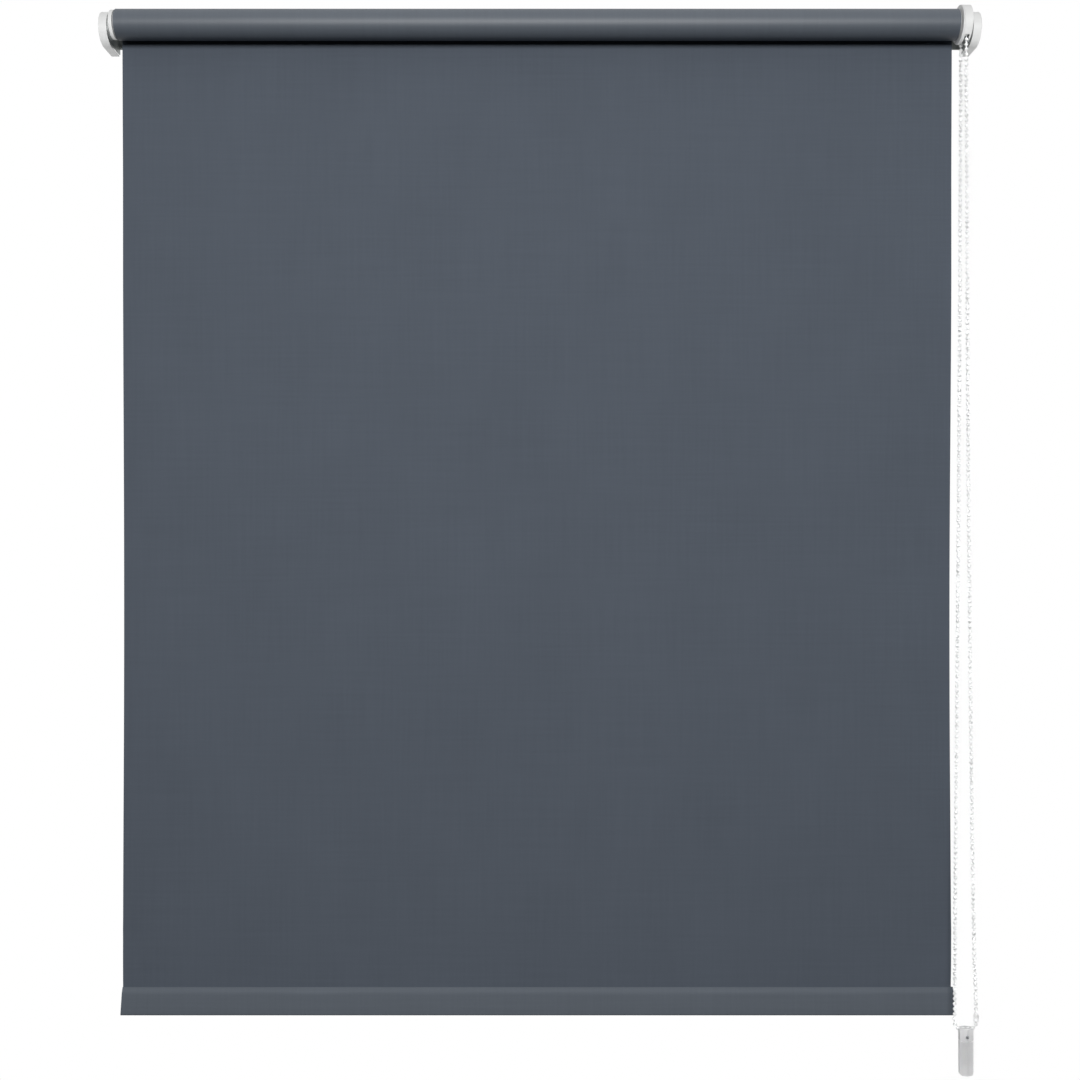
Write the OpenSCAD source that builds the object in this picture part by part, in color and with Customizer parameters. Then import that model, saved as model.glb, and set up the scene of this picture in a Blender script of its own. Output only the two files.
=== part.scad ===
// Roller blind with a bead-chain drive, screwed to a wall.
// The wall is the plane y = 0, the room lies towards -Y, and +Z is up.
// The origin is on the wall, level with the roll's axis, midway between the two bracket covers.

/* [Sheet] */
// Width of the fabric
fabric_w = 1000; // [600:10:1400]
// Height from the roll's axis down to the lower edge of the hem
drop = 1187; // [900:1:1190]
// Thickness of the fabric
fabric_t = 0.45; // [0.35:0.05:0.5]
// Height of the hem pocket
hem_h = 34; // [32:1:44]
// Height of the bottom bar
bar_h = 27.5; // [20:0.5:27.5]
// Thickness of the bottom bar
bar_t = 3.9; // [3:0.1:4.5]

/* [Roll] */
// Outside diameter of the tube
tube_d = 32; // [31:0.5:32]
// Wall thickness of the tube
tube_wall = 1.2; // [1:0.1:1.2]
// Turns of fabric left on the tube when the sheet is down, the hanging one included
wraps = 3; // [2:1:3]
// Distance from the wall to the roll's axis
axis_y = 30; // [30:1:32]
// Length of each end plug inside the tube
plug_l = 30; // [30:1:40]

/* [Brackets] */
// Fabric edge to the outside of the idle cover
idle_side = 17; // [17:0.5:20]
// Fabric edge to the outside of the drive cover
drive_side = 24; // [24:0.5:28]
// Radius of a cover's round nose
cover_r = 20.7; // [20.7:0.1:23]
// Depth of a cover along the roll
cover_w = 9.8; // [9:0.1:10.1]
// Wall thickness of the covers and the chain guard
shell_t = 1.5; // [1:0.1:1.5]
// Thickness of the steel brackets
steel_t = 1.2; // [1:0.1:1.5]
// Radius of a wall screw hole
hole_r = 2.25; // [1.5:0.25:2.5]
// Height between the two screw holes of a bracket
hole_gap = 16; // [14:1:16]
// Radius of the round collar at the idle end
collar_r = 16.8; // [16:0.1:18]
// Radius of the chain guard
guard_r = 22.2; // [22:0.1:23]

/* [Chain] */
// Diameter of a bead
bead_d = 4.5; // [4:0.1:4.5]
// Radius of the wheel at the bead centres
wheel_pitch_r = 9.7; // [9.7:0.1:10]
// Width of the chain weight
weight_w = 16; // [15:0.5:18]
// Thickness of the chain weight at its ridge
weight_t = 12; // [11:0.5:13]

/* [Hidden] */
$fn = 96;

// clearances: between bodies, between pieces of one body, and of a running fit
clear = 0.3;
snug = 0.05;
eps = 0.01;

// stations along X
half_w = (fabric_w + idle_side + drive_side) / 2;
fabric_x0 = -half_w + idle_side;
fabric_x1 = half_w - drive_side;
cover_x = half_w - cover_w;
plate_gap = 0.8;
plate_x = cover_x - plate_gap;
plug_flange_t = 1.4;
collar_x = -fabric_x0 + plug_flange_t + 0.6;
end_gap = 0.5;
guard_x = fabric_x1 + plug_flange_t + end_gap;
web_t = 1.2;
web_x = plate_x - web_t;
wheel_x0 = guard_x + shell_t + end_gap;
wheel_x1 = web_x - end_gap;
chain_inset = 5.1;
chain_x = plate_x - chain_inset;

// side outline of a cover: a round nose and a straight back
nose_y = -28.2;
nose_z = -6.2;
plate_inset = 2.2;
flange_w = 19.9;
flange_z0 = -18.6;
flange_z1 = 13;
hole_inset = 13.9;

// screws and rivets
rivet_r = 1.5;
rivet_l = 3;
rivet_head_r = 2.6;
screw_head_t = 1.6;
slot_w = 0.8;
slot_h = 0.8;
rivet_z = 9.5;
boss_y = -axis_y + 16.3;
boss_z = 7;
boss_r = 2.9;
boss_skin = 2;

// roll and plugs
tube_r = tube_d / 2;
bore_r = tube_r - tube_wall;
tape_t = 0.2;
roll_r = tube_r + tape_t + (wraps - 1) * fabric_t;
sheet_r = roll_r + clear;
plug_flange_r = tube_r;
pin_r = 4;
pin_bore_l = 9.5;
pin_ring_r = 6.5;
pin_ring_t = 2;
ring_gap = 0.2;
chamber_r = 7;
chamber_l = 21;
plug_cap_t = 2.5;
key_w = 2.4;
key_h = 1.6;

// clutch
core_r = 6;
core_base_r = 9;
core_x0 = fabric_x1 - 28;
hub_x0 = fabric_x1 - 25.5;
hub_r = 9;
spring_room_r = 7.6;
spring_room_l = 22;
spring_pitch = 1.5;
spring_turns = 5;
inner_spring_x = hub_x0 + 3.2;
outer_spring_x = hub_x0 + 14.2;
clip_t = 0.9;
clip_r = core_r + 1.8;
clip_groove = 1.1;
clip_mouth = 4;
groove_x = core_x0 + 1.4;
groove_h = 0.8;
core_screw_l = 18;
core_head_r = 3.4;
core_head_t = 2;
wheel_r = 12.4;
groove_r = bead_d / 2 + 0.35;

// sheet and hem
sheet_y = -axis_y + sheet_r + fabric_t / 2;
seam_z = -(drop - hem_h);
shoulder_z = seam_z - 4.6;
bar_inset = 0.5;
pocket_r = bar_t / 2 + snug + fabric_t;
bar_cap_l = 3;

// chain route from the wheel's front down, through the weight and up to the wheel's back,
// measured from the wheel's centre
ROUTE = [
    [0, -9.7, 0], [0, -9.7, -14], [0.1, -9.6, -30], [0.3, -9.2, -80],
    [1, -8.5, -180], [1.8, -7.7, -300], [2.7, -6.8, -420], [3.8, -5.9, -540],
    [5.2, -4.9, -660], [6.8, -3.8, -780], [8.5, -2.7, -900], [10.4, -1.6, -1010],
    [12.4, -0.7, -1100], [14, -0.2, -1150], [15, 0, -1178], [15, 0, -1188],
    [14.3, 0, -1191.4], [12.4, 0, -1194.4], [9.4, 0, -1196.3], [6, 0, -1197],
    [-1.6, 0, -1197], [-5, 0, -1196.3], [-8, 0, -1194.4], [-9.9, 0, -1191.4],
    [-10.6, 0, -1188], [-10.6, 0, -1178], [-10.5, 0.2, -1150], [-10, 0.7, -1100],
    [-9.2, 1.6, -1010], [-7.8, 2.7, -900], [-6.4, 3.8, -780], [-5, 4.9, -660],
    [-3.7, 5.9, -540], [-2.6, 6.8, -420], [-1.7, 7.7, -300], [-0.9, 8.5, -180],
    [-0.3, 9.2, -80], [-0.1, 9.6, -30], [0, 9.7, -14], [0, 9.7, 0]
];

// weight, measured down from the wheel's centre
weight_x = chain_x + 2.8;
weight_z1 = -1195;
weight_z0 = -1251;
run_z = -1197;
cap_arc_r = 17;
screw_z = -1205;
slug_z1 = -1213;
slug_z0 = -1237;
slug_w = 9;
slug_t = 5;
weight_wall = 1.4;
ridge_drop = 2.8;
small_screw_r = 1.1;
small_head_r = 1.9;
small_head_t = 1.2;
head_sink = 0.3;
connector_x = chain_x + 15;
connector_z = -1184;
connector_l = 8;
connector_r = 3;

// Catmull-Rom point between p1 and p2
function between(p0, p1, p2, p3, t) =
    0.5 * (2 * p1 + (p2 - p0) * t + (2 * p0 - 5 * p1 + 4 * p2 - p3) * t * t
    + (3 * p1 - p0 - 3 * p2 + p3) * t * t * t);
function smooth_route(p, steps) = [
    for (i = [0 : len(p) - 2])
        for (k = [0 : steps - 1])
            between(p[max(i - 1, 0)], p[i], p[i + 1], p[min(i + 2, len(p) - 1)], k / steps),
    p[len(p) - 1]
];
function unit(v) = v / norm(v);
function heading(p, i) = unit(p[min(i + 1, len(p) - 1)] - p[max(i - 1, 0)]);
// ring of points round p[i]; up is any direction that the path never takes
function ring(p, i, r, sides, up) =
    let (t = heading(p, i), u = unit(cross(t, up)), v = cross(u, t))
    [for (k = [0 : sides - 1]) p[i] + r * (cos(360 * k / sides) * u + sin(360 * k / sides) * v)];
function helix(r, pitch, turns, per_turn) = [
    for (i = [0 : turns * per_turn])
        [pitch * i / per_turn, r * cos(360 * i / per_turn), r * sin(360 * i / per_turn)]
];

// tube of radius r along the points p
module sweep(p, r, sides, up) {
    n = len(p);
    points = [for (i = [0 : n - 1]) each ring(p, i, r, sides, up)];
    walls = [
        for (i = [0 : n - 2])
            for (k = [0 : sides - 1])
                let (a = i * sides + k, b = i * sides + (k + 1) % sides)
                each [[a, b, b + sides], [a, b + sides, a + sides]]
    ];
    start = [for (k = [sides - 1 : -1 : 0]) k];
    finish = [for (k = [0 : sides - 1]) (n - 1) * sides + k];
    polyhedron(points = points, faces = concat(walls, [start, finish]));
}

// extrudes a YZ outline along X
module along_x(x0, x1) {
    translate([x0, 0, 0]) rotate([90, 0, 90]) linear_extrude(x1 - x0) children();
}
// extrudes an XZ outline along Y
module along_y(y0, y1) {
    translate([0, y1, 0]) rotate([90, 0, 0]) linear_extrude(y1 - y0) children();
}
// cylinder along X about the roll's axis
module spindle(x0, x1, r) {
    translate([x0, -axis_y, 0]) rotate([0, 90, 0]) cylinder(h = x1 - x0, r = r);
}
// one slot of a screw head whose top is at x
module cross_slot(x, y, z, l) {
    translate([x - slot_h, y - l / 2, z - slot_w / 2]) cube([slot_h + 1, l, slot_w]);
}
// cylinder along X at a place on the bracket
module stud(x0, x1, y, z, r) {
    translate([x0, y, z]) rotate([0, 90, 0]) cylinder(h = x1 - x0, r = r, $fn = 32);
}

// ---- brackets, shared by both ends and drawn for the drive end ----

module cover_outline(inset, back_y) {
    r = cover_r - inset;
    translate([nose_y, nose_z]) circle(r);
    translate([nose_y, nose_z - r]) square([back_y - nose_y, 2 * r]);
}
module bracket_steel() {
    difference() {
        union() {
            along_x(plate_x, plate_x + steel_t) cover_outline(plate_inset, 0);
            translate([plate_x - flange_w, -steel_t, flange_z0])
                cube([flange_w + steel_t, steel_t, flange_z1 - flange_z0]);
        }
        for (z = [-hole_gap / 2, hole_gap / 2])
            translate([plate_x - hole_inset, 1, z]) rotate([90, 0, 0])
                cylinder(h = steel_t + 2, r = hole_r);
    }
}
module cover_shell() {
    rib_y = -24;
    rib_l = 16;
    rib_t = 1.4;
    rib_low = nose_z - 13.8;
    rib_high = nose_z + 16.8;
    difference() {
        along_x(cover_x, half_w) cover_outline(0, -0.5);
        along_x(cover_x - 1, half_w - shell_t) cover_outline(shell_t, 1);
    }
    for (z = [rib_low, rib_high])
        translate([plate_x + steel_t, rib_y, z])
            cube([half_w - shell_t - plate_x - steel_t + eps, rib_l, rib_t]);
}

// ---- idle end ----

module idle_bracket() {
    color("slategray") difference() {
        mirror([1, 0, 0]) bracket_steel();
        for (z = [-rivet_z, rivet_z])
            stud(-plate_x - steel_t - 1, -plate_x + 1, -axis_y, z, rivet_r + snug);
    }
}
module idle_collar() {
    color("white") difference() {
        spindle(-plate_x, -collar_x, collar_r);
        spindle(-plate_x - 1, -collar_x + 1, pin_r + snug);
        for (z = [-rivet_z, rivet_z])
            stud(-plate_x - 1, -plate_x + rivet_l + 0.2, -axis_y, z, rivet_r + snug);
    }
}
module idle_rivets() {
    color("silver") for (z = [-rivet_z, rivet_z]) {
        stud(-plate_x - steel_t - eps, -plate_x + rivet_l, -axis_y, z, rivet_r);
        stud(-plate_x - steel_t - 1, -plate_x - steel_t, -axis_y, z, rivet_head_r);
    }
}
module idle_cover() {
    color("white") mirror([1, 0, 0]) cover_shell();
}

// ---- drive end ----

module drive_bracket() {
    color("slategray") difference() {
        bracket_steel();
        stud(plate_x - 1, plate_x + steel_t + 1, -axis_y, 0, rivet_r + snug);
        for (z = [-boss_z, boss_z])
            stud(plate_x - 1, plate_x + steel_t + 1, boss_y, z, rivet_r + snug);
    }
}
module chain_guard() {
    outlet_y0 = -14.5;
    outlet_y1 = 14;
    outlet_z = -14;
    outlet_w = bead_d + 0.9;
    back_r = 17.5;
    joint_gap = 0.5;
    color("white") difference() {
        union() {
            difference() {
                spindle(guard_x + shell_t, plate_x - joint_gap, guard_r);
                spindle(guard_x, web_x, guard_r - shell_t);
                translate([chain_x - outlet_w / 2, outlet_y0 - axis_y, -guard_r - 1])
                    cube([outlet_w, outlet_y1 - outlet_y0, guard_r + 1 + outlet_z]);
            }
            spindle(web_x + eps, plate_x, back_r);
            for (z = [-boss_z, boss_z])
                stud(guard_x + shell_t, web_x + eps, boss_y, z, boss_r);
        }
        spindle(web_x - 1, plate_x + 1, core_base_r + clear);
        for (z = [-boss_z, boss_z])
            stud(guard_x + shell_t + boss_skin, plate_x + 1, boss_y, z, rivet_r + snug);
    }
}
module guard_cap() {
    color("white") difference() {
        spindle(guard_x, guard_x + shell_t, guard_r);
        spindle(guard_x - 1, guard_x + shell_t + 1, hub_r + 2 * clear);
    }
}
module guard_screws() {
    color("silver") for (z = [-boss_z, boss_z]) {
        stud(guard_x + shell_t + boss_skin + 0.4, plate_x + steel_t + eps, boss_y, z, rivet_r);
        difference() {
            stud(plate_x + steel_t, plate_x + steel_t + screw_head_t, boss_y, z, rivet_head_r + 0.5);
            cross_slot(plate_x + steel_t + screw_head_t, boss_y, z, 4.4);
        }
    }
}
module drive_cover() {
    color("white") cover_shell();
}
module clutch_core() {
    color("dimgray") difference() {
        union() {
            spindle(core_x0, web_x + eps, core_r);
            spindle(web_x, plate_x, core_base_r);
        }
        difference() {
            spindle(groove_x, groove_x + clip_groove, core_r + 1);
            spindle(groove_x - 1, groove_x + clip_groove + 1, core_r - groove_h);
        }
        spindle(plate_x - core_screw_l - 2, plate_x + 1, rivet_r + snug);
    }
}
module core_clip() {
    clip_x = groove_x + (clip_groove - clip_t) / 2;
    color("silver") difference() {
        spindle(clip_x, clip_x + clip_t, clip_r);
        spindle(clip_x - 1, clip_x + clip_t + 1, core_r - groove_h + snug);
        translate([clip_x - 1, -axis_y - clip_mouth / 2, -clip_r - 1])
            cube([clip_t + 2, clip_mouth, clip_r]);
    }
}
module wrap_spring(x0) {
    wire_r = 0.6;
    color("silver") translate([x0, -axis_y, 0])
        sweep(helix(core_r + wire_r + 0.15, spring_pitch, spring_turns, 16), wire_r, 8, [1, 0, 0]);
}
module wrap_spring_inner() {
    wrap_spring(inner_spring_x);
}
module wrap_spring_outer() {
    wrap_spring(outer_spring_x);
}
module clutch_screw() {
    head_x = plate_x + steel_t;
    color("silver") {
        spindle(head_x - core_screw_l, head_x + eps, rivet_r);
        difference() {
            spindle(head_x, head_x + core_head_t, core_head_r);
            cross_slot(head_x + core_head_t, -axis_y, 0, 4.8);
            translate([0, -axis_y, 0]) rotate([90, 0, 0])
                cross_slot(head_x + core_head_t, 0, 0, 4.8);
        }
    }
}

// ---- roll ----

module roller_tube() {
    color("silver") difference() {
        spindle(fabric_x0, fabric_x1, tube_r);
        spindle(fabric_x0 - 1, fabric_x1 + 1, bore_r);
    }
}
module fabric_roll() {
    color("dimgray") difference() {
        spindle(fabric_x0, fabric_x1, roll_r);
        spindle(fabric_x0 - 1, fabric_x1 + 1, tube_r + tape_t);
    }
}
module fabric_tape() {
    color("ivory") translate([fabric_x0, -axis_y, 0]) rotate([90, 0, 90])
        rotate([0, 0, 70]) linear_extrude(fabric_w) intersection() {
            difference() {
                circle(tube_r + tape_t);
                circle(tube_r);
            }
            polygon([[0, 0], [2 * tube_r, 0], [2 * tube_r, tube_r]]);
        }
}
// ribbed plug body from x0 to x1
module ribbed_plug(x0, x1) {
    difference() {
        spindle(x0, x1, bore_r - snug);
        for (a = [0 : 45 : 315])
            translate([x0 - 1, -axis_y, 0]) rotate([a, 0, 0])
                translate([0, -key_w / 2, bore_r - key_h]) cube([x1 - x0 + 2, key_w, 2 * key_h]);
    }
}
module idle_plug() {
    color("gainsboro") difference() {
        union() {
            ribbed_plug(fabric_x0, fabric_x0 + plug_l);
            spindle(fabric_x0 - plug_flange_t, fabric_x0 + eps, plug_flange_r);
        }
        spindle(fabric_x0 - 2, fabric_x0 + plug_l, pin_r + snug);
        spindle(fabric_x0 + pin_bore_l, fabric_x0 + plug_l + 1, chamber_r);
    }
}
module idle_plug_cap() {
    color("gainsboro") difference() {
        spindle(fabric_x0 + pin_bore_l + chamber_l - plug_cap_t, fabric_x0 + plug_l, chamber_r - snug);
        spindle(fabric_x0, fabric_x0 + plug_l + 1, pin_r + clear);
    }
}
module drive_plug() {
    color("gainsboro") difference() {
        union() {
            ribbed_plug(fabric_x1 - plug_l, fabric_x1);
            spindle(fabric_x1 - eps, fabric_x1 + plug_flange_t, plug_flange_r);
        }
        spindle(fabric_x1 - plug_l - 1, fabric_x1 + 2, hub_r + snug);
    }
}
module chain_wheel() {
    color("gainsboro") difference() {
        union() {
            spindle(hub_x0, wheel_x0 + eps, hub_r);
            spindle(wheel_x0, wheel_x1, wheel_r);
        }
        spindle(hub_x0 - 1, wheel_x1 + 1, core_r + snug);
        spindle(hub_x0 + 2, hub_x0 + 2 + spring_room_l, spring_room_r);
        translate([chain_x, -axis_y, 0]) rotate([0, 90, 0]) rotate_extrude() {
            translate([wheel_pitch_r, 0]) circle(groove_r, $fn = 48);
            translate([wheel_pitch_r, -groove_r]) square([wheel_r, 2 * groove_r]);
        }
    }
}
module idle_pin() {
    tip_x = -plate_x + 0.6;
    tail_x = fabric_x0 + pin_bore_l + 14;
    ring_x = fabric_x0 + pin_bore_l + ring_gap;
    color("silver") {
        spindle(tip_x + 1, tail_x, pin_r);
        translate([tip_x, -axis_y, 0]) rotate([0, 90, 0]) cylinder(h = 1 + eps, r1 = 3, r2 = pin_r);
        spindle(ring_x, ring_x + pin_ring_t, pin_ring_r);
    }
}
module idle_spring() {
    wire_r = 0.5;
    turns = 6;
    x0 = fabric_x0 + pin_bore_l + ring_gap + pin_ring_t + wire_r + 0.1;
    x1 = fabric_x0 + pin_bore_l + chamber_l - plug_cap_t - 2 * wire_r - 0.1;
    color("silver") translate([x0, -axis_y, 0])
        sweep(helix(pin_r + wire_r + 0.7, (x1 - x0) / turns, turns, 16), wire_r, 8, [1, 0, 0]);
}

// ---- sheet and bottom bar ----

module fabric_sheet() {
    color("dimgray") translate([fabric_x0, sheet_y - fabric_t / 2, seam_z])
        cube([fabric_w, fabric_t, -seam_z]);
}
// outline of the hem, closed at its seam and round at its lower edge
module hem_outline(r, top_z, top_half) {
    low_z = -drop + pocket_r;
    translate([sheet_y, low_z]) circle(r, $fn = 48);
    polygon([
        [sheet_y - r, low_z], [sheet_y + r, low_z], [sheet_y + r, shoulder_z],
        [sheet_y + top_half, top_z], [sheet_y - top_half, top_z], [sheet_y - r, shoulder_z]
    ]);
}
module hem_pocket() {
    color("dimgray") along_x(fabric_x0, fabric_x1) difference() {
        hem_outline(pocket_r, seam_z - clear, fabric_t);
        hem_outline(pocket_r - fabric_t, seam_z - clear - 2, 0.1);
    }
}
module bar_section(x0, x1) {
    low_z = -drop + pocket_r;
    along_x(x0, x1) {
        translate([sheet_y, low_z]) circle(bar_t / 2, $fn = 48);
        translate([sheet_y - bar_t / 2, low_z]) square([bar_t, bar_h - bar_t / 2]);
    }
}
module bottom_bar() {
    color("lightgray") bar_section(fabric_x0 + bar_inset + bar_cap_l, fabric_x1 - bar_inset - bar_cap_l);
}
module bar_cap_left() {
    color("gray") bar_section(fabric_x0 + bar_inset, fabric_x0 + bar_inset + bar_cap_l);
}
module bar_cap_right() {
    color("gray") bar_section(fabric_x1 - bar_inset - bar_cap_l, fabric_x1 - bar_inset);
}

// ---- chain and weight ----

module bead_chain() {
    color("whitesmoke") translate([chain_x, -axis_y, 0])
        sweep(smooth_route(ROUTE, 2), bead_d / 2, 8, [0, 1, 0]);
}
module chain_wrap() {
    color("whitesmoke") translate([chain_x, -axis_y, 0]) rotate([90, 0, 90])
        rotate_extrude(angle = 180) translate([wheel_pitch_r, 0]) circle(bead_d / 2, $fn = 48);
}
module chain_connector() {
    color("whitesmoke") translate([connector_x, -axis_y, connector_z]) difference() {
        cylinder(h = connector_l, r = connector_r, center = true, $fn = 48);
        cylinder(h = connector_l + 1, r = bead_d / 2 + clear, center = true, $fn = 48);
    }
}
// front outline of the weight
module weight_front(inset) {
    low_r = 3;
    top_r = 1.5;
    half = weight_w / 2 - inset;
    translate([weight_x - half, weight_z0 + inset + low_r])
        square([2 * half, weight_z1 - weight_z0 - 2 * inset - low_r - top_r]);
    translate([weight_x - half + low_r, weight_z0 + inset]) square([2 * (half - low_r), low_r + eps]);
    translate([weight_x - half + top_r, weight_z1 - inset - top_r - eps])
        square([2 * (half - top_r), top_r + eps]);
    for (s = [-1, 1]) {
        translate([weight_x + s * (half - low_r), weight_z0 + inset + low_r]) circle(low_r);
        translate([weight_x + s * (half - top_r), weight_z1 - inset - top_r]) circle(top_r);
    }
}
// plan of the weight, with a shallow ridge down its front and its back
module weight_plan(inset) {
    half = weight_w / 2;
    ridge = weight_t / 2 - inset;
    edge = weight_t / 2 - ridge_drop - inset;
    polygon([
        [-half, -edge], [0, -ridge], [half, -edge],
        [half, edge], [0, ridge], [-half, edge]
    ]);
}
module weight_block(inset) {
    intersection() {
        along_y(-axis_y - weight_t, -axis_y + weight_t) weight_front(inset);
        translate([weight_x, -axis_y, weight_z0 - 1])
            linear_extrude(weight_z1 - weight_z0 + 2) weight_plan(inset);
    }
}
module cap_arc(r) {
    translate([weight_x, -axis_y + weight_t, weight_z1 + 1]) rotate([90, 0, 0])
        cylinder(h = 2 * weight_t, r = r);
}
module weight_cap() {
    groove = bead_d / 2 + 0.3;
    color("whitesmoke") difference() {
        intersection() {
            weight_block(0);
            cap_arc(cap_arc_r);
        }
        translate([weight_x - weight_w, -axis_y, run_z]) rotate([0, 90, 0])
            cylinder(h = 2 * weight_w, r = groove, $fn = 48);
        translate([weight_x - weight_w, -axis_y - groove, run_z]) cube([2 * weight_w, 2 * groove, 6]);
        translate([weight_x, -axis_y + weight_t, screw_z]) rotate([90, 0, 0])
            cylinder(h = 2 * weight_t, r = small_screw_r + 0.1, $fn = 32);
        translate([weight_x, -axis_y - weight_t / 2 + small_head_t + head_sink + 0.1, screw_z])
            rotate([90, 0, 0]) cylinder(h = 3, r = small_head_r + 0.2, $fn = 32);
    }
}
module weight_half(side) {
    difference() {
        weight_block(0);
        cap_arc(cap_arc_r + snug);
        // room for the slug, and the clear hollow under it
        intersection() {
            weight_block(weight_wall);
            union() {
                translate([weight_x - weight_w, -axis_y - weight_t, slug_z0 - 0.1])
                    cube([2 * weight_w, 2 * weight_t, 60]);
                translate([weight_x - weight_w, -axis_y - weight_t, weight_z0])
                    cube([2 * weight_w, 2 * weight_t, slug_z0 - weight_wall - weight_z0]);
            }
        }
        translate([side > 0 ? weight_x - weight_w : weight_x - snug / 2, -axis_y - weight_t, weight_z0 - 1])
            cube([weight_w + snug / 2, 2 * weight_t, 70]);
    }
}
module weight_shell_left() {
    color("silver", 0.6) weight_half(-1);
}
module weight_shell_right() {
    color("silver", 0.6) weight_half(1);
}
module weight_slug() {
    color("dimgray") translate([weight_x - slug_w / 2, -axis_y - slug_t / 2, slug_z0])
        cube([slug_w, slug_t, slug_z1 - slug_z0]);
}
module weight_screw() {
    head_y = -axis_y - weight_t / 2 + head_sink + small_head_t;
    color("gray") translate([weight_x, head_y, screw_z]) rotate([-90, 0, 0]) {
        cylinder(h = 8.5, r = small_screw_r, $fn = 32);
        difference() {
            translate([0, 0, -small_head_t]) cylinder(h = small_head_t + eps, r = small_head_r, $fn = 32);
            translate([-1.4, -0.25, -small_head_t - 0.1]) cube([2.8, 0.5, 0.7]);
        }
    }
}

idle_bracket();
idle_collar();
idle_rivets();
idle_cover();
drive_bracket();
chain_guard();
guard_cap();
guard_screws();
drive_cover();
clutch_core();
core_clip();
wrap_spring_inner();
wrap_spring_outer();
clutch_screw();
roller_tube();
fabric_roll();
fabric_tape();
idle_plug();
idle_plug_cap();
drive_plug();
chain_wheel();
idle_pin();
idle_spring();
fabric_sheet();
hem_pocket();
bottom_bar();
bar_cap_left();
bar_cap_right();
bead_chain();
chain_wrap();
chain_connector();
weight_cap();
weight_shell_left();
weight_shell_right();
weight_slug();
weight_screw();
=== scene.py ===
import math

import bmesh
import bpy
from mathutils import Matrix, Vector, noise


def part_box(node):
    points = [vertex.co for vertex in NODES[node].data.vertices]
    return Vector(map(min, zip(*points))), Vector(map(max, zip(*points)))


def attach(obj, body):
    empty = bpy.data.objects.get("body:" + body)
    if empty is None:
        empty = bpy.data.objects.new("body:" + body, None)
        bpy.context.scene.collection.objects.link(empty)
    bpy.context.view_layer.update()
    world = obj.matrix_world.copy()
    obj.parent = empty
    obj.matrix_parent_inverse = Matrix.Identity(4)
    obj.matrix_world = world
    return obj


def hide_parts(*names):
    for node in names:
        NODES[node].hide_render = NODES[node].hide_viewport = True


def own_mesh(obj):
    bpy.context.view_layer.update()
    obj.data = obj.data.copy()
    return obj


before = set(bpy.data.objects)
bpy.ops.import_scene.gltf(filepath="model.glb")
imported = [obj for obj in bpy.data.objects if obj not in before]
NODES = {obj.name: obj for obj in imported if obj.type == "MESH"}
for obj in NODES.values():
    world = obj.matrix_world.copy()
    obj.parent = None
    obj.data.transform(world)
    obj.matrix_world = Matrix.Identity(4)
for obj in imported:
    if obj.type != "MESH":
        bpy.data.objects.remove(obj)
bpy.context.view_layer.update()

# the frame's own places
AXIS_Y = -0.030
SHEET_LO, SHEET_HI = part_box("fabric_sheet")
SHEET_Y = (SHEET_LO.y + SHEET_HI.y) / 2
SEAM_Z = SHEET_LO.z
FABRIC_T = 0.00045
WHEEL = Vector((0.5048, AXIS_Y, 0))

# chain route in millimetres from the wheel's centre, as in part.scad
ROUTE = [
    (0, -9.7, 0), (0, -9.7, -14), (0.1, -9.6, -30), (0.3, -9.2, -80),
    (1, -8.5, -180), (1.8, -7.7, -300), (2.7, -6.8, -420), (3.8, -5.9, -540),
    (5.2, -4.9, -660), (6.8, -3.8, -780), (8.5, -2.7, -900), (10.4, -1.6, -1010),
    (12.4, -0.7, -1100), (14, -0.2, -1150), (15, 0, -1178), (15, 0, -1188),
    (14.3, 0, -1191.4), (12.4, 0, -1194.4), (9.4, 0, -1196.3), (6, 0, -1197),
    (-1.6, 0, -1197), (-5, 0, -1196.3), (-8, 0, -1194.4), (-9.9, 0, -1191.4),
    (-10.6, 0, -1188), (-10.6, 0, -1178), (-10.5, 0.2, -1150), (-10, 0.7, -1100),
    (-9.2, 1.6, -1010), (-7.8, 2.7, -900), (-6.4, 3.8, -780), (-5, 4.9, -660),
    (-3.7, 5.9, -540), (-2.6, 6.8, -420), (-1.7, 7.7, -300), (-0.9, 8.5, -180),
    (-0.3, 9.2, -80), (-0.1, 9.6, -30), (0, 9.7, -14), (0, 9.7, 0),
]
BEAD_R = 0.00225
BEAD_PITCH = 0.006
THREAD_R = 0.0006
WHEEL_PITCH_R = 0.0097

# camera and floor
IMAGE_SIDE = 1080
FOCAL_PIXELS = 1280
SENSOR_MM = 36
CAMERA_AT = (0, -1.55565, -0.614)
FLOOR_Z = -2.2
FLOOR_SIDE = 6
FLOOR_BACK = 2.1


# ---- materials ----

def new_material(name):
    material = bpy.data.materials.new(name)
    material.use_nodes = True
    tree = material.node_tree
    return material, tree, tree.nodes["Principled BSDF"]


def add(tree, kind, settings=None, **values):
    """A node, with its settings and its input values; an input's name has _ for a space."""
    made = tree.nodes.new(kind)
    for key, value in (settings or {}).items():
        setattr(made, key, value)
    for key, value in values.items():
        made.inputs[key.replace("_", " ")].default_value = value
    return made


def math_node(tree, operation, a, b=None):
    made = tree.nodes.new("ShaderNodeMath")
    made.operation = operation
    for place, value in enumerate((a, b)):
        if value is None:
            continue
        if isinstance(value, (int, float)):
            made.inputs[place].default_value = value
        else:
            tree.links.new(value, made.inputs[place])
    return made.outputs[0]


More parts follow.
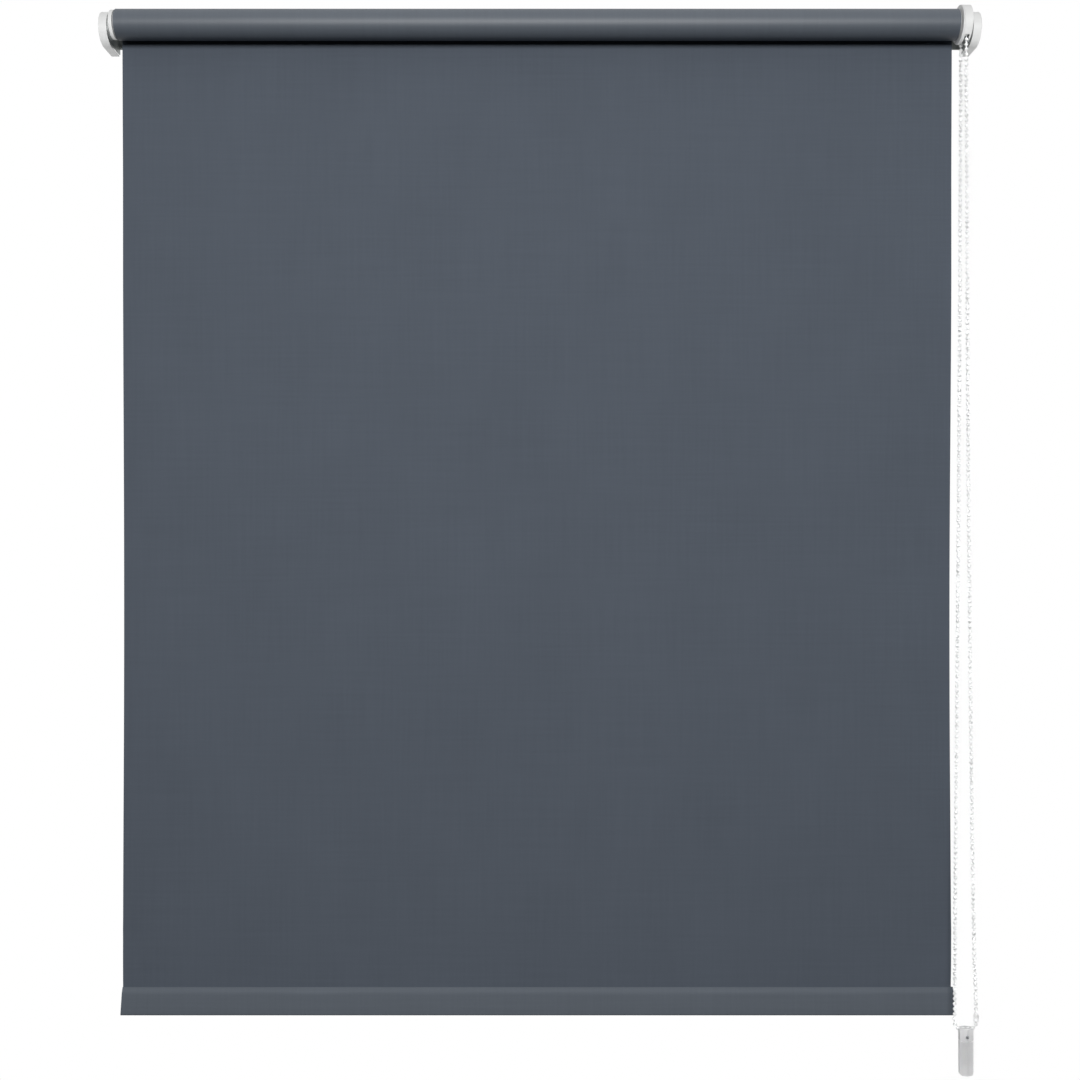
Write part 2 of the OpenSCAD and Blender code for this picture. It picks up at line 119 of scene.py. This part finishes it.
def grain(tree, scale, detail=3.0, stretch=(1, 1, 1), from_uv=False):
    """Noise of that many features a metre, stretched by less than 1 along its grain."""
    coords = tree.nodes.new("ShaderNodeTexCoord")
    place = add(tree, "ShaderNodeMapping")
    place.inputs["Scale"].default_value = stretch
    tree.links.new(coords.outputs["UV" if from_uv else "Object"], place.inputs["Vector"])
    made = add(tree, "ShaderNodeTexNoise", Scale=scale, Detail=detail, Roughness=0.55)
    tree.links.new(place.outputs[0], made.inputs["Vector"])
    return made.outputs[0]


def shade_between(tree, socket, dark, light, factor, low=0.3, high=0.7):
    """Drives a colour socket between two colours as factor goes from low to high."""
    ramp = tree.nodes.new("ShaderNodeValToRGB")
    ramp.color_ramp.elements[0].position = low
    ramp.color_ramp.elements[1].position = high
    ramp.color_ramp.elements[0].color = (*dark, 1)
    ramp.color_ramp.elements[1].color = (*light, 1)
    tree.links.new(factor, ramp.inputs[0])
    tree.links.new(ramp.outputs[0], socket)
    return ramp.outputs[0]


def spread(tree, socket, factor, low, high):
    """Drives a number socket from low to high as factor goes from 0.3 to 0.7."""
    made = add(tree, "ShaderNodeMapRange", From_Min=0.3, From_Max=0.7, To_Min=low, To_Max=high)
    tree.links.new(factor, made.inputs["Value"])
    tree.links.new(made.outputs[0], socket)


def relief(tree, shader, height, distance, strength=1.0, under=None):
    """Bumps the shader's normal by height times distance, in metres."""
    made = add(tree, "ShaderNodeBump", Strength=strength, Distance=distance)
    tree.links.new(height, made.inputs["Height"])
    if under is not None:
        tree.links.new(under, made.inputs["Normal"])
    tree.links.new(made.outputs[0], shader.inputs["Normal"])
    return made.outputs[0]


def tone(colour, factor):
    return tuple(min(c * factor, 1) for c in colour)


def moulded(name, colour, roughness, texture=2600, depth=0.00002, subsurface=0.0):
    """Moulded plastic: a fine spark-eroded texture, faint flow marks and uneven gloss."""
    material, tree, shader = new_material(name)
    flow = grain(tree, 38, 4)
    fine = grain(tree, texture, 2)
    shade_between(tree, shader.inputs["Base Color"], tone(colour, 0.965), tone(colour, 1.02), flow)
    spread(tree, shader.inputs["Roughness"], grain(tree, 160, 3), roughness - 0.05, roughness + 0.06)
    relief(tree, shader, fine, depth, 0.6, relief(tree, shader, flow, 0.0001, 0.3))
    shader.inputs["IOR"].default_value = 1.49
    if subsurface:
        shader.inputs["Subsurface Weight"].default_value = subsurface
        shader.inputs["Subsurface Radius"].default_value = (0.002, 0.002, 0.002)
        shader.inputs["Subsurface Scale"].default_value = 0.6
    return material


def zinc_plate(name, colour, roughness):
    """Zinc plated steel: cloudy crystals, fine rolling lines and dull patches."""
    material, tree, shader = new_material(name)
    clouds = grain(tree, 120, 5)
    lines = grain(tree, 900, 3, (1, 1, 0.04))
    shade_between(tree, shader.inputs["Base Color"], tone(colour, 0.86), tone(colour, 1.12), clouds)
    spread(tree, shader.inputs["Roughness"], lines, roughness - 0.08, roughness + 0.1)
    relief(tree, shader, lines, 0.00002, 0.5)
    shader.inputs["Metallic"].default_value = 0.92
    return material


def drawn_metal(name, colour, roughness, stretch, metallic=1.0):
    """Drawn or turned metal, with fine lines along its grain and small dull marks."""
    material, tree, shader = new_material(name)
    lines = grain(tree, 1800, 3, stretch)
    marks = grain(tree, 70, 5)
    shade_between(tree, shader.inputs["Base Color"], tone(colour, 0.9), tone(colour, 1.06), marks)
    spread(tree, shader.inputs["Roughness"], lines, roughness - 0.07, roughness + 0.09)
    relief(tree, shader, lines, 0.00001, 0.6)
    shader.inputs["Metallic"].default_value = metallic
    return material


def weave(tree, pitch):
    """Height of a plain weave from UV in metres: threads over and under, with slubs."""
    coords = tree.nodes.new("ShaderNodeTexCoord")
    parts = tree.nodes.new("ShaderNodeSeparateXYZ")
    tree.links.new(coords.outputs["UV"], parts.inputs[0])
    turn = math.tau / pitch
    warp = math_node(tree, "SINE", math_node(tree, "MULTIPLY", parts.outputs[0], turn))
    weft = math_node(tree, "SINE", math_node(tree, "MULTIPLY", parts.outputs[1], turn))
    cross = math_node(tree, "MULTIPLY", warp, weft)
    slub_x = grain(tree, 300, 2, (0.03, 1, 1), True)
    slub_y = grain(tree, 300, 2, (1, 0.03, 1), True)
    slubs = math_node(tree, "ADD", slub_x, slub_y)
    return math_node(tree, "ADD", math_node(tree, "MULTIPLY", cross, 0.5), slubs), slubs


def cloth(name, colour, roughness, specular, sheen, relief_depth):
    """Blackout cloth: a fine plain weave, uneven threads and a faint cloudiness."""
    material, tree, shader = new_material(name)
    height, slubs = weave(tree, 0.00055)
    clouds = grain(tree, 9, 3, (1, 0.6, 1), True)
    mixed = math_node(tree, "MULTIPLY", math_node(tree, "ADD", clouds, slubs), 0.3333)
    shade_between(tree, shader.inputs["Base Color"], tone(colour, 0.93), tone(colour, 1.07), mixed)
    spread(tree, shader.inputs["Roughness"], slubs, roughness - 0.04, roughness + 0.04)
    relief(tree, shader, height, relief_depth, 0.5)
    shader.inputs["Specular IOR Level"].default_value = specular
    shader.inputs["Sheen Weight"].default_value = sheen
    shader.inputs["Sheen Roughness"].default_value = 0.4
    return material


def clear_plastic(name, colour):
    """Translucent grey plastic, slightly milky, with faint swirls from the mould."""
    material, tree, shader = new_material(name)
    swirls = grain(tree, 90, 4, (1, 1, 0.4))
    shade_between(tree, shader.inputs["Base Color"], tone(colour, 0.94), tone(colour, 1.05), swirls)
    spread(tree, shader.inputs["Roughness"], grain(tree, 400, 2), 0.34, 0.44)
    relief(tree, shader, swirls, 0.00003, 0.3)
    shader.inputs["Transmission Weight"].default_value = 0.7
    shader.inputs["IOR"].default_value = 1.3
    return material


WHITE = moulded("white_plastic", (0.70, 0.705, 0.70), 0.42)
NYLON = moulded("grey_nylon", (0.48, 0.49, 0.50), 0.5, 1800, 0.00004)
CHAIN = moulded("chain_plastic", (0.94, 0.945, 0.945), 0.34, 3000, 0.00001, 0.3)
CAP = moulded("cap_plastic", (0.66, 0.66, 0.665), 0.36, 2600, 0.00002, 0.2)
PAPER = moulded("tape", (0.80, 0.78, 0.70), 0.55, 5000, 0.00003)
ZINC = zinc_plate("zinc_steel", (0.42, 0.44, 0.43), 0.46)
STEEL = drawn_metal("bright_steel", (0.62, 0.63, 0.64), 0.28, (0.05, 1, 1))
TUBE = drawn_metal("tube_aluminium", (0.72, 0.73, 0.74), 0.32, (0.02, 1, 1))
SLUG = drawn_metal("slug_steel", (0.46, 0.46, 0.47), 0.5, (1, 1, 0.1))
FACE = cloth("cloth_face", (0.088, 0.104, 0.130), 0.85, 0.15, 0.05, 0.00006)
BACK = cloth("cloth_back", (0.105, 0.122, 0.145), 0.42, 0.5, 0.0, 0.00003)
HEM = cloth("cloth_hem", (0.112, 0.130, 0.155), 0.62, 0.25, 0.0, 0.00005)
CLEAR = clear_plastic("clear_grey", (0.97, 0.97, 0.98))


# ---- mesh helpers ----

def mesh_piece(name, points, faces, material, uvs=None, smooth=True):
    mesh = bpy.data.meshes.new(name)
    mesh.from_pydata([tuple(p) for p in points], [], faces)
    mesh.materials.append(material)
    mesh.polygons.foreach_set("use_smooth", [smooth] * len(mesh.polygons))
    if uvs:
        layer = mesh.uv_layers.new(name="UVMap")
        for loop in mesh.loops:
            layer.data[loop.index].uv = uvs[loop.vertex_index]
    mesh.update()
    mesh.set_sharp_from_angle(angle=math.radians(50))
    piece = bpy.data.objects.new(name, mesh)
    bpy.context.scene.collection.objects.link(piece)
    return piece


def place(piece, body, slot, *stands_for):
    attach(piece, body)
    if stands_for:
        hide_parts(*stands_for)
    return piece


def mark_sharp(bm, angle):
    for face in bm.faces:
        face.smooth = True
    for edge in bm.edges:
        flat = len(edge.link_faces) == 2 and edge.calc_face_angle() < math.radians(angle)
        edge.smooth = flat


def softened(node, body, slot, material, width, shortest=0.0005):
    """A copy of a CAD node with its moulded or folded edges rounded over."""
    piece = bpy.data.objects.new(node + "_look", NODES[node].data.copy())
    bpy.context.scene.collection.objects.link(piece)
    bm = bmesh.new()
    bm.from_mesh(piece.data)
    bmesh.ops.remove_doubles(bm, verts=bm.verts[:], dist=0.000002)
    bmesh.ops.dissolve_limit(
        bm, angle_limit=math.radians(0.4), verts=bm.verts[:], edges=bm.edges[:]
    )
    edges = [
        e for e in bm.edges
        if len(e.link_faces) == 2
        and e.calc_face_angle() > math.radians(28)
        and e.calc_length() > shortest
    ]
    bmesh.ops.bevel(
        bm, geom=edges, offset=width, segments=2, profile=0.5, affect="EDGES", clamp_overlap=True
    )
    mark_sharp(bm, 40)
    bm.to_mesh(piece.data)
    bm.free()
    piece.data.materials.clear()
    piece.data.materials.append(material)
    firm = piece.modifiers.new("firm", "WEIGHTED_NORMAL")
    firm.keep_sharp = True
    firm.weight = 80
    return place(piece, body, slot, node)


# ---- camera ----

def make_camera():
    data = bpy.data.cameras.new("camera")
    data.sensor_width = SENSOR_MM
    data.lens = SENSOR_MM * FOCAL_PIXELS / IMAGE_SIDE
    data.clip_end = 50
    camera = bpy.data.objects.new("camera", data)
    camera.location = CAMERA_AT
    camera.rotation_euler = (math.radians(90), 0, 0)
    bpy.context.scene.collection.objects.link(camera)
    bpy.context.scene.camera = camera


# ---- chain ----

def between(a, b, c, d, t):
    """Catmull-Rom point between b and c."""
    return 0.5 * (
        2 * b + (c - a) * t + (2 * a - 5 * b + 4 * c - d) * t * t
        + (3 * b - a - 3 * c + d) * t ** 3
    )


def smooth_route(steps):
    points = [WHEEL + Vector(p) / 1000 for p in ROUTE]
    last = len(points) - 1
    made = []
    for i in range(last):
        four = [points[min(max(i + k, 0), last)] for k in (-1, 0, 1, 2)]
        made += [between(*four, k / steps) for k in range(steps)]
    return made + [points[last]]


def half_turn(steps):
    """The chain's way over the wheel, from the back strand to the front one."""
    made = []
    for k in range(steps + 1):
        angle = math.pi * k / steps
        made.append(WHEEL + WHEEL_PITCH_R * Vector((0, math.cos(angle), math.sin(angle))))
    return made


class Line:
    """A polyline that gives its point and its heading at a distance along it."""

    def __init__(self, points):
        self.points = points
        self.at = [0.0]
        for a, b in zip(points, points[1:]):
            self.at.append(self.at[-1] + (b - a).length)
        self.length = self.at[-1]
        self.last = 0

    def point(self, s):
        s = min(max(s, 0), self.length)
        while self.last and self.at[self.last] > s:
            self.last -= 1
        while self.last < len(self.points) - 2 and self.at[self.last + 1] < s:
            self.last += 1
        span = self.at[self.last + 1] - self.at[self.last]
        return self.points[self.last].lerp(self.points[self.last + 1], (s - self.at[self.last]) / span)

    def heading(self, s):
        return (self.point(s + 0.001) - self.point(s - 0.001)).normalized()


def swept(name, line, stations, sides, up, material):
    """A tube along the line, with its radius given at each station as (distance, radius)."""
    points = []
    for s, radius in stations:
        centre = line.point(s)
        side = line.heading(s).cross(up).normalized()
        other = line.heading(s).cross(side)
        for k in range(sides):
            turn = math.tau * k / sides
            points.append(centre + radius * (math.cos(turn) * side + math.sin(turn) * other))
    faces = []
    for i in range(len(stations) - 1):
        for k in range(sides):
            a, b = i * sides + k, i * sides + (k + 1) % sides
            faces.append((a, a + sides, b + sides, b))
    faces.append(tuple(range(sides)))
    faces.append(tuple(reversed(range(len(points) - sides, len(points)))))
    return mesh_piece(name, points, faces, material)


def bead_stations(length, first, count, pitch):
    """Rings of a string of beads: a thin thread that swells into each bead."""
    stations = [(0, THREAD_R)]
    for i in range(count):
        for degrees in (14, 34, 60, 84, 90, 96, 120, 146, 166):
            angle = math.radians(degrees)
            radius = BEAD_R * math.sin(angle) * (1 if degrees == 90 else 0.988)
            stations.append((first + i * pitch - BEAD_R * math.cos(angle), max(radius, THREAD_R)))
    stations.append((length, THREAD_R))
    return stations


def make_chain():
    line = Line(smooth_route(6))
    count = int(line.length / BEAD_PITCH)
    pitch = line.length / count
    stations = bead_stations(line.length, pitch / 2, count, pitch)
    chain = swept("bead_chain_look", line, stations, 12, Vector((0, 1, 0)), CHAIN)
    return place(chain, "chain", "chain_plastic", "bead_chain"), line


def make_wrap():
    line = Line(half_turn(48))
    stations = bead_stations(line.length, line.length / 10, 5, line.length / 5)
    wrap = swept("chain_wrap_look", line, stations, 12, Vector((1, 0, 0)), CHAIN)
    return place(wrap, "chain", "chain_plastic", "chain_wrap")


def lathe(name, centre, profile, sides, material):
    """Turns a closed (radius, height) outline about an upright axis through centre."""
    points, faces, count = [], [], len(profile)
    for k in range(sides):
        turn = math.tau * k / sides
        for radius, height in profile:
            points.append(centre + Vector((radius * math.cos(turn), radius * math.sin(turn), height)))
    for k in range(sides):
        for i in range(count):
            a, b = k * count + i, k * count + (i + 1) % count
            c, d = (a + count) % len(points), (b + count) % len(points)
            faces.append((a, c, d, b))
    return mesh_piece(name, points, faces, material)


def make_connector():
    """The chain's joining clip: a short barrel with a waist and two end ribs."""
    low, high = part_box("chain_connector")
    centre = (low + high) / 2
    half = (high.z - low.z) / 2
    bore = BEAD_R + 0.0003
    outer = [
        (0.0027, -1), (0.00288, -0.96), (0.003, -0.86), (0.003, -0.62), (0.00284, -0.54),
        (0.00284, -0.2), (0.00278, 0), (0.00284, 0.2), (0.00284, 0.54), (0.003, 0.62),
        (0.003, 0.86), (0.00288, 0.96), (0.0027, 1),
    ]
    profile = [(radius, share * half) for radius, share in outer]
    profile += [(bore, 0.96 * half), (bore, -0.96 * half)]
    clip = lathe("chain_connector_look", centre, profile, 32, CHAIN)
    return place(clip, "chain", "chain_plastic", "chain_connector")


def make_weight():
    cap = softened("weight_cap", "chain", "chain_plastic", CAP, 0.0005, 0.0001)
    left = softened("weight_shell_left", "chain", "clear_grey", CLEAR, 0.0003, 0.0001)
    right = softened("weight_shell_right", "chain", "clear_grey", CLEAR, 0.0003, 0.0001)
    return [cap, left, right]


# ---- fabric ----

def bump_at(value, centre, width):
    """1 at the centre, falling smoothly to nothing a width or two away."""
    return math.exp(-((value - centre) / width) ** 2)


def side_shift(x, down):
    """How far the cloth's side edges draw in or flare, as a share of the drop goes from 0 to 1."""
    pull = math.sin(math.pi * min(max(down - 0.25, 0) / 0.75, 1)) ** 1.5
    reach = abs(x) / 0.5
    if x < 0:
        shift = 0.0013 * pull - 0.0009 * max(down - 0.93, 0) / 0.07
    else:
        shift = 0.0021 * pull - 0.0013 * max(down - 0.93, 0) / 0.07
    return -math.copysign(shift, x) * reach ** 3


def cloth_depth(x, down):
    """How far the hanging cloth stands from its plane, towards +Y."""
    free = math.sin(math.pi * min(down / 0.97, 1)) ** 0.7 if down < 0.97 else 0
    side = max(abs(x) / 0.5 - 0.9, 0) / 0.1
    curl = 0.0022 * side ** 2 * min(down / 0.15, 1) * min((1 - down) / 0.05, 1) ** 2
    swell = 0.0010 * noise.noise(Vector((x * 2.1, down * 1.7, 0.3))) * free
    swell += 0.0004 * noise.noise(Vector((x * 7, down * 2.2, 4.1))) * free
    drape = 0.0005 * math.sin(x * 19 + 0.8) * bump_at(down, 0.9, 0.12) * free
    near_seam = bump_at(down, 0.985, 0.014)
    corners = bump_at(x, -0.455, 0.05) + bump_at(x, 0.47, 0.03)
    pucker = 0.0006 * math.sin(x * 300) * near_seam * corners * min((1 - down) / 0.02, 1) ** 2
    return curl + swell + drape + pucker


def sheet_point(u, down):
    x = SHEET_LO.x + u * (SHEET_HI.x - SHEET_LO.x)
    middle = (SHEET_LO.x + SHEET_HI.x) / 2
    return x + side_shift(x - middle, down), cloth_depth(x - middle, down), down * SEAM_Z


def make_sheet():
    """The hanging cloth as a closed thin sheet, its room side matt and its wall side coated."""
    across, along = 150, 150
    points, uvs, faces = [], [], []
    for side in (-1, 1):
        for j in range(along + 1):
            for i in range(across + 1):
                u, down = i / across, j / along
                x, depth, z = sheet_point(u, down)
                points.append((x, SHEET_Y + depth + side * FABRIC_T / 2, z))
                uvs.append((u, z))
    row, back = across + 1, (across + 1) * (along + 1)
    for j in range(along):
        for i in range(across):
            a = j * row + i
            faces.append((a, a + row, a + row + 1, a + 1))
            faces.append((back + a, back + a + 1, back + a + row + 1, back + a + row))
    rim = list(range(across)) + [j * row + across for j in range(along)]
    rim += [along * row + i for i in range(across, 0, -1)] + [j * row for j in range(along, 0, -1)]
    for a, b in zip(rim, rim[1:] + rim[:1]):
        faces.append((a, b, back + b, back + a))
    sheet = mesh_piece("sheet", points, faces, FACE, uvs)
    sheet.data.materials.append(BACK)
    for face in sheet.data.polygons:
        face.material_index = 1 if min(face.vertices) >= back else 0
    place(sheet, "root", "blackout_fabric", "fabric_sheet")
    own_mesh(sheet)
    return sheet


def spiral(name, start, end, angle0, angle1, step, material):
    """Cloth wound on the tube, from radius start to end as it turns from angle0 to angle1."""
    sections = max(int((angle1 - angle0) / step), 8)
    stations = [SHEET_LO.x + k / 12 * (SHEET_HI.x - SHEET_LO.x) for k in range(13)]
    points, uvs, faces = [], [], []
    half = FABRIC_T / 2 - 0.00002
    for side in (1, -1):
        for j in range(sections + 1):
            share = j / sections
            angle = math.radians(angle0 + share * (angle1 - angle0))
            radius = start + share * (end - start) + side * half
            for x in stations:
                points.append((x, AXIS_Y + radius * math.cos(angle), radius * math.sin(angle)))
                uvs.append((x, angle * start))
    row, inner = len(stations), len(stations) * (sections + 1)
    for j in range(sections):
        for i in range(row - 1):
            a = j * row + i
            faces.append((a, a + 1, a + row + 1, a + row))
            faces.append((inner + a, inner + a + row, inner + a + row + 1, inner + a + 1))
    rim = list(range(row - 1)) + [j * row + row - 1 for j in range(sections)]
    rim += [sections * row + i for i in range(row - 1, 0, -1)]
    rim += [j * row for j in range(sections, 0, -1)]
    for a, b in zip(rim, rim[1:] + rim[:1]):
        faces.append((b, a, inner + a, inner + b))
    return mesh_piece(name, points, faces, material, uvs)


def make_roll():
    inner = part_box("fabric_roll")[1].z - 0.0009 + 0.00022
    roll = spiral("fabric_roll_look", inner, inner + 0.00062, 70, 70 + 520, 5, BACK)
    place(roll, "roller", "blackout_fabric", "fabric_roll")
    outer = SHEET_Y - AXIS_Y
    turn = spiral("fabric_turn", outer, outer - 0.00008, 0, 325, 4, BACK)
    return place(turn, "root", "blackout_fabric")


def hem_profile():
    """The pocket's section as (toward the room, down from the seam): out, round and back.
    Its lips reach up past the sheet's lower edge, one on each side of it."""
    low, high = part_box("hem_pocket")
    half = (high.y - low.y) / 2
    deep = high.z - low.z
    path = [(0.00075, -0.0005), (0.00092, 0.0008), (0.0019, 0.0040)]
    path += [(half - 0.00004, 0.0060), (half, 0.009)]
    path += [(half, 0.015), (half, 0.022), (half, deep - half)]
    for degrees in range(15, 90, 15):
        turn = math.radians(degrees)
        path.append((half * math.cos(turn), deep - half + half * math.sin(turn)))
    path.append((0, deep))
    path += [(-out, down) for out, down in reversed(path[:-1])]
    return path, high.z


def inset_path(path, by):
    """The same open path, moved inwards."""
    made = []
    for i, (out, down) in enumerate(path):
        a, b = path[max(i - 1, 0)], path[min(i + 1, len(path) - 1)]
        run = Vector((b[0] - a[0], b[1] - a[1])).normalized()
        made.append((out - run.y * by, down + run.x * by))
    return made


def hem_shift(x, share):
    """The hem's ends lean outwards towards its lower edge."""
    if x < 0:
        return -(-0.0004 + 0.0022 * share) * (abs(x) / 0.5) ** 12
    return (0.0012 + 0.0018 * share) * (abs(x) / 0.5) ** 12


def make_hem():
    path, top = hem_profile()
    deep = path[len(path) // 2][1]
    loop = path + list(reversed(inset_path(path, FABRIC_T)))
    count, across = len(loop), 150
    points, uvs, faces = [], [], []
    middle = (SHEET_LO.x + SHEET_HI.x) / 2
    for i in range(across + 1):
        x = SHEET_LO.x + i / across * (SHEET_HI.x - SHEET_LO.x)
        travelled = 0
        for k, (out, down) in enumerate(loop):
            if k:
                travelled += math.dist(loop[k], loop[k - 1])
            slack = 0.00035 * noise.noise(Vector((x * 16, down * 30, 2))) * bump_at(down, 0.009, 0.005)
            shift = hem_shift(x - middle, down / deep)
            points.append((x + shift, SHEET_Y - out * (1 + slack / 0.0024), top - down))
            uvs.append((x, travelled))
    for i in range(across):
        for k in range(count):
            a, b = i * count + k, i * count + (k + 1) % count
            faces.append((a, b, b + count, a + count))
    half = count // 2
    for k in range(half - 1):
        a, b, c, d = k, k + 1, count - 2 - k, count - 1 - k
        faces.append((a, d, c, b))
        last = across * count
        faces.append((last + a, last + b, last + c, last + d))
    hem = mesh_piece("hem_pocket_look", points, faces, HEM, uvs)
    return place(hem, "hem", "blackout_fabric", "hem_pocket")


# ---- hardware ----

def make_white_fittings():
    widths = {
        "idle_cover": 0.0006, "drive_cover": 0.0006, "idle_collar": 0.0004,
        "chain_guard": 0.0005, "guard_cap": 0.0005,
    }
    return [softened(node, "root", "white_plastic", WHITE, w) for node, w in widths.items()]


def make_hardware():
    for node in ("idle_bracket", "drive_bracket"):
        softened(node, "root", "zinc_steel", ZINC, 0.00025)
    softened("clutch_core", "root", "grey_nylon", NYLON, 0.0003)
    softened("idle_plug", "roller", "grey_nylon", NYLON, 0.0003)
    softened("drive_plug", "roller", "grey_nylon", NYLON, 0.0003)
    softened("chain_wheel", "roller", "grey_nylon", NYLON, 0.0003)


def make_idle_spring():
    """The pin's spring, a copy of the CAD spring in bright steel riding on the roller; the copy keeps
    its length when the pin is pressed in.
    """
    spring = bpy.data.objects.new("idle_spring_look", NODES["idle_spring"].data.copy())
    bpy.context.scene.collection.objects.link(spring)
    spring.data.materials.clear()
    spring.data.materials.append(STEEL)
    place(spring, "roller", "bright_steel", "idle_spring")
    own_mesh(spring)


CAD_FINISHES = {
    "idle_rivets": STEEL, "guard_screws": STEEL, "clutch_screw": STEEL, "core_clip": STEEL,
    "wrap_spring_inner": STEEL, "wrap_spring_outer": STEEL, "idle_pin": STEEL,
    "weight_screw": STEEL, "roller_tube": TUBE, "bottom_bar": TUBE,
    "fabric_tape": PAPER, "idle_plug_cap": NYLON, "bar_cap_left": NYLON,
    "bar_cap_right": NYLON, "weight_slug": SLUG,
}


def finish_cad_nodes():
    for node, material in CAD_FINISHES.items():
        for held in NODES[node].material_slots:
            held.material = material


# ---- light and floor ----

def make_world():
    """White behind the object and to its sides, dim in front; the camera sees plain white."""
    world = bpy.data.worlds.new("world")
    bpy.context.scene.world = world
    world.use_nodes = True
    tree = world.node_tree
    plain = tree.nodes["Background"]
    coords = tree.nodes.new("ShaderNodeTexCoord")
    parts = tree.nodes.new("ShaderNodeSeparateXYZ")
    tree.links.new(coords.outputs["Generated"], parts.inputs[0])
    behind = add(tree, "ShaderNodeMapRange", From_Min=0.1, From_Max=0.6, To_Min=0.0, To_Max=1.0)
    tree.links.new(parts.outputs[1], behind.inputs["Value"])
    above = add(tree, "ShaderNodeMapRange", From_Min=0.0, From_Max=0.9, To_Min=0.01, To_Max=0.85)
    tree.links.new(parts.outputs[2], above.inputs["Value"])
    beside = add(tree, "ShaderNodeMapRange", From_Min=0.7, From_Max=0.95, To_Min=0.0, To_Max=0.3)
    tree.links.new(math_node(tree, "ABSOLUTE", parts.outputs[0]), beside.inputs["Value"])
    white = math_node(tree, "MAXIMUM", behind.outputs[0], beside.outputs[0])
    lit = tree.nodes.new("ShaderNodeBackground")
    tree.links.new(math_node(tree, "MAXIMUM", white, above.outputs[0]), lit.inputs["Strength"])
    plain.inputs["Color"].default_value = (1, 1, 1, 1)
    ray = tree.nodes.new("ShaderNodeLightPath")
    mix = tree.nodes.new("ShaderNodeMixShader")
    tree.links.new(ray.outputs["Is Camera Ray"], mix.inputs[0])
    tree.links.new(lit.outputs[0], mix.inputs[1])
    tree.links.new(plain.outputs[0], mix.inputs[2])
    tree.links.new(mix.outputs[0], tree.nodes["World Output"].inputs["Surface"])


def make_key_light():
    data = bpy.data.lights.new("key", "AREA")
    data.shape = "RECTANGLE"
    data.size, data.size_y = 2.0, 0.8
    data.energy = 61
    light = bpy.data.objects.new("key", data)
    light.location = (0, -2.6, 0.16)
    light.rotation_euler = (Vector((0, 0, -0.35)) - light.location).to_track_quat("-Z", "Y").to_euler()
    light.visible_camera = False
    bpy.context.scene.collection.objects.link(light)


def make_fill(name, at, aim, size, energy, pieces):
    """A soft light for the white plastics alone, as the white room round them gives them."""
    data = bpy.data.lights.new(name, "AREA")
    data.shape = "RECTANGLE"
    data.size, data.size_y = size
    data.energy = energy
    light = bpy.data.objects.new(name, data)
    light.location = at
    light.rotation_euler = (Vector(aim) - light.location).to_track_quat("-Z", "Y").to_euler()
    light.visible_camera = False
    bpy.context.scene.collection.objects.link(light)
    lit = bpy.data.collections.new("lit_by_" + name)
    for piece in pieces:
        lit.objects.link(piece)
    light.light_linking.receiver_collection = lit


def make_floor():
    material, tree, shader = new_material("floor")
    patches = grain(tree, 12)
    shade_between(tree, shader.inputs["Base Color"], (0.8, 0.8, 0.8), (0.84, 0.84, 0.84), patches)
    shader.inputs["Roughness"].default_value = 0.8
    corners = [
        (-FLOOR_SIDE, -FLOOR_SIDE, FLOOR_Z), (FLOOR_SIDE, -FLOOR_SIDE, FLOOR_Z),
        (FLOOR_SIDE, FLOOR_BACK, FLOOR_Z), (-FLOOR_SIDE, FLOOR_BACK, FLOOR_Z),
    ]
    floor = mesh_piece("floor", corners, [(0, 1, 2, 3)], material)
    floor.visible_diffuse = False
    floor.visible_glossy = False


make_camera()
chain, chain_line = make_chain()
wrap = make_wrap()
clip_and_weight = [make_connector(), *make_weight()]
sheet = make_sheet()
turn = make_roll()
hem = make_hem()
white_fittings = make_white_fittings()
make_hardware()
make_idle_spring()
finish_cad_nodes()
make_world()
make_key_light()
make_fill("fill_low", (0, -2.4, -1.1), (0, 0, -0.5), (2.4, 0.5), 21, [chain, wrap, *clip_and_weight])
make_fill("fill_under", (0, -0.9, -2.05), (0, 0, -0.2), (2.4, 1.2), 33, white_fittings)
make_floor()
bpy.context.scene.view_settings.view_transform = "Standard"
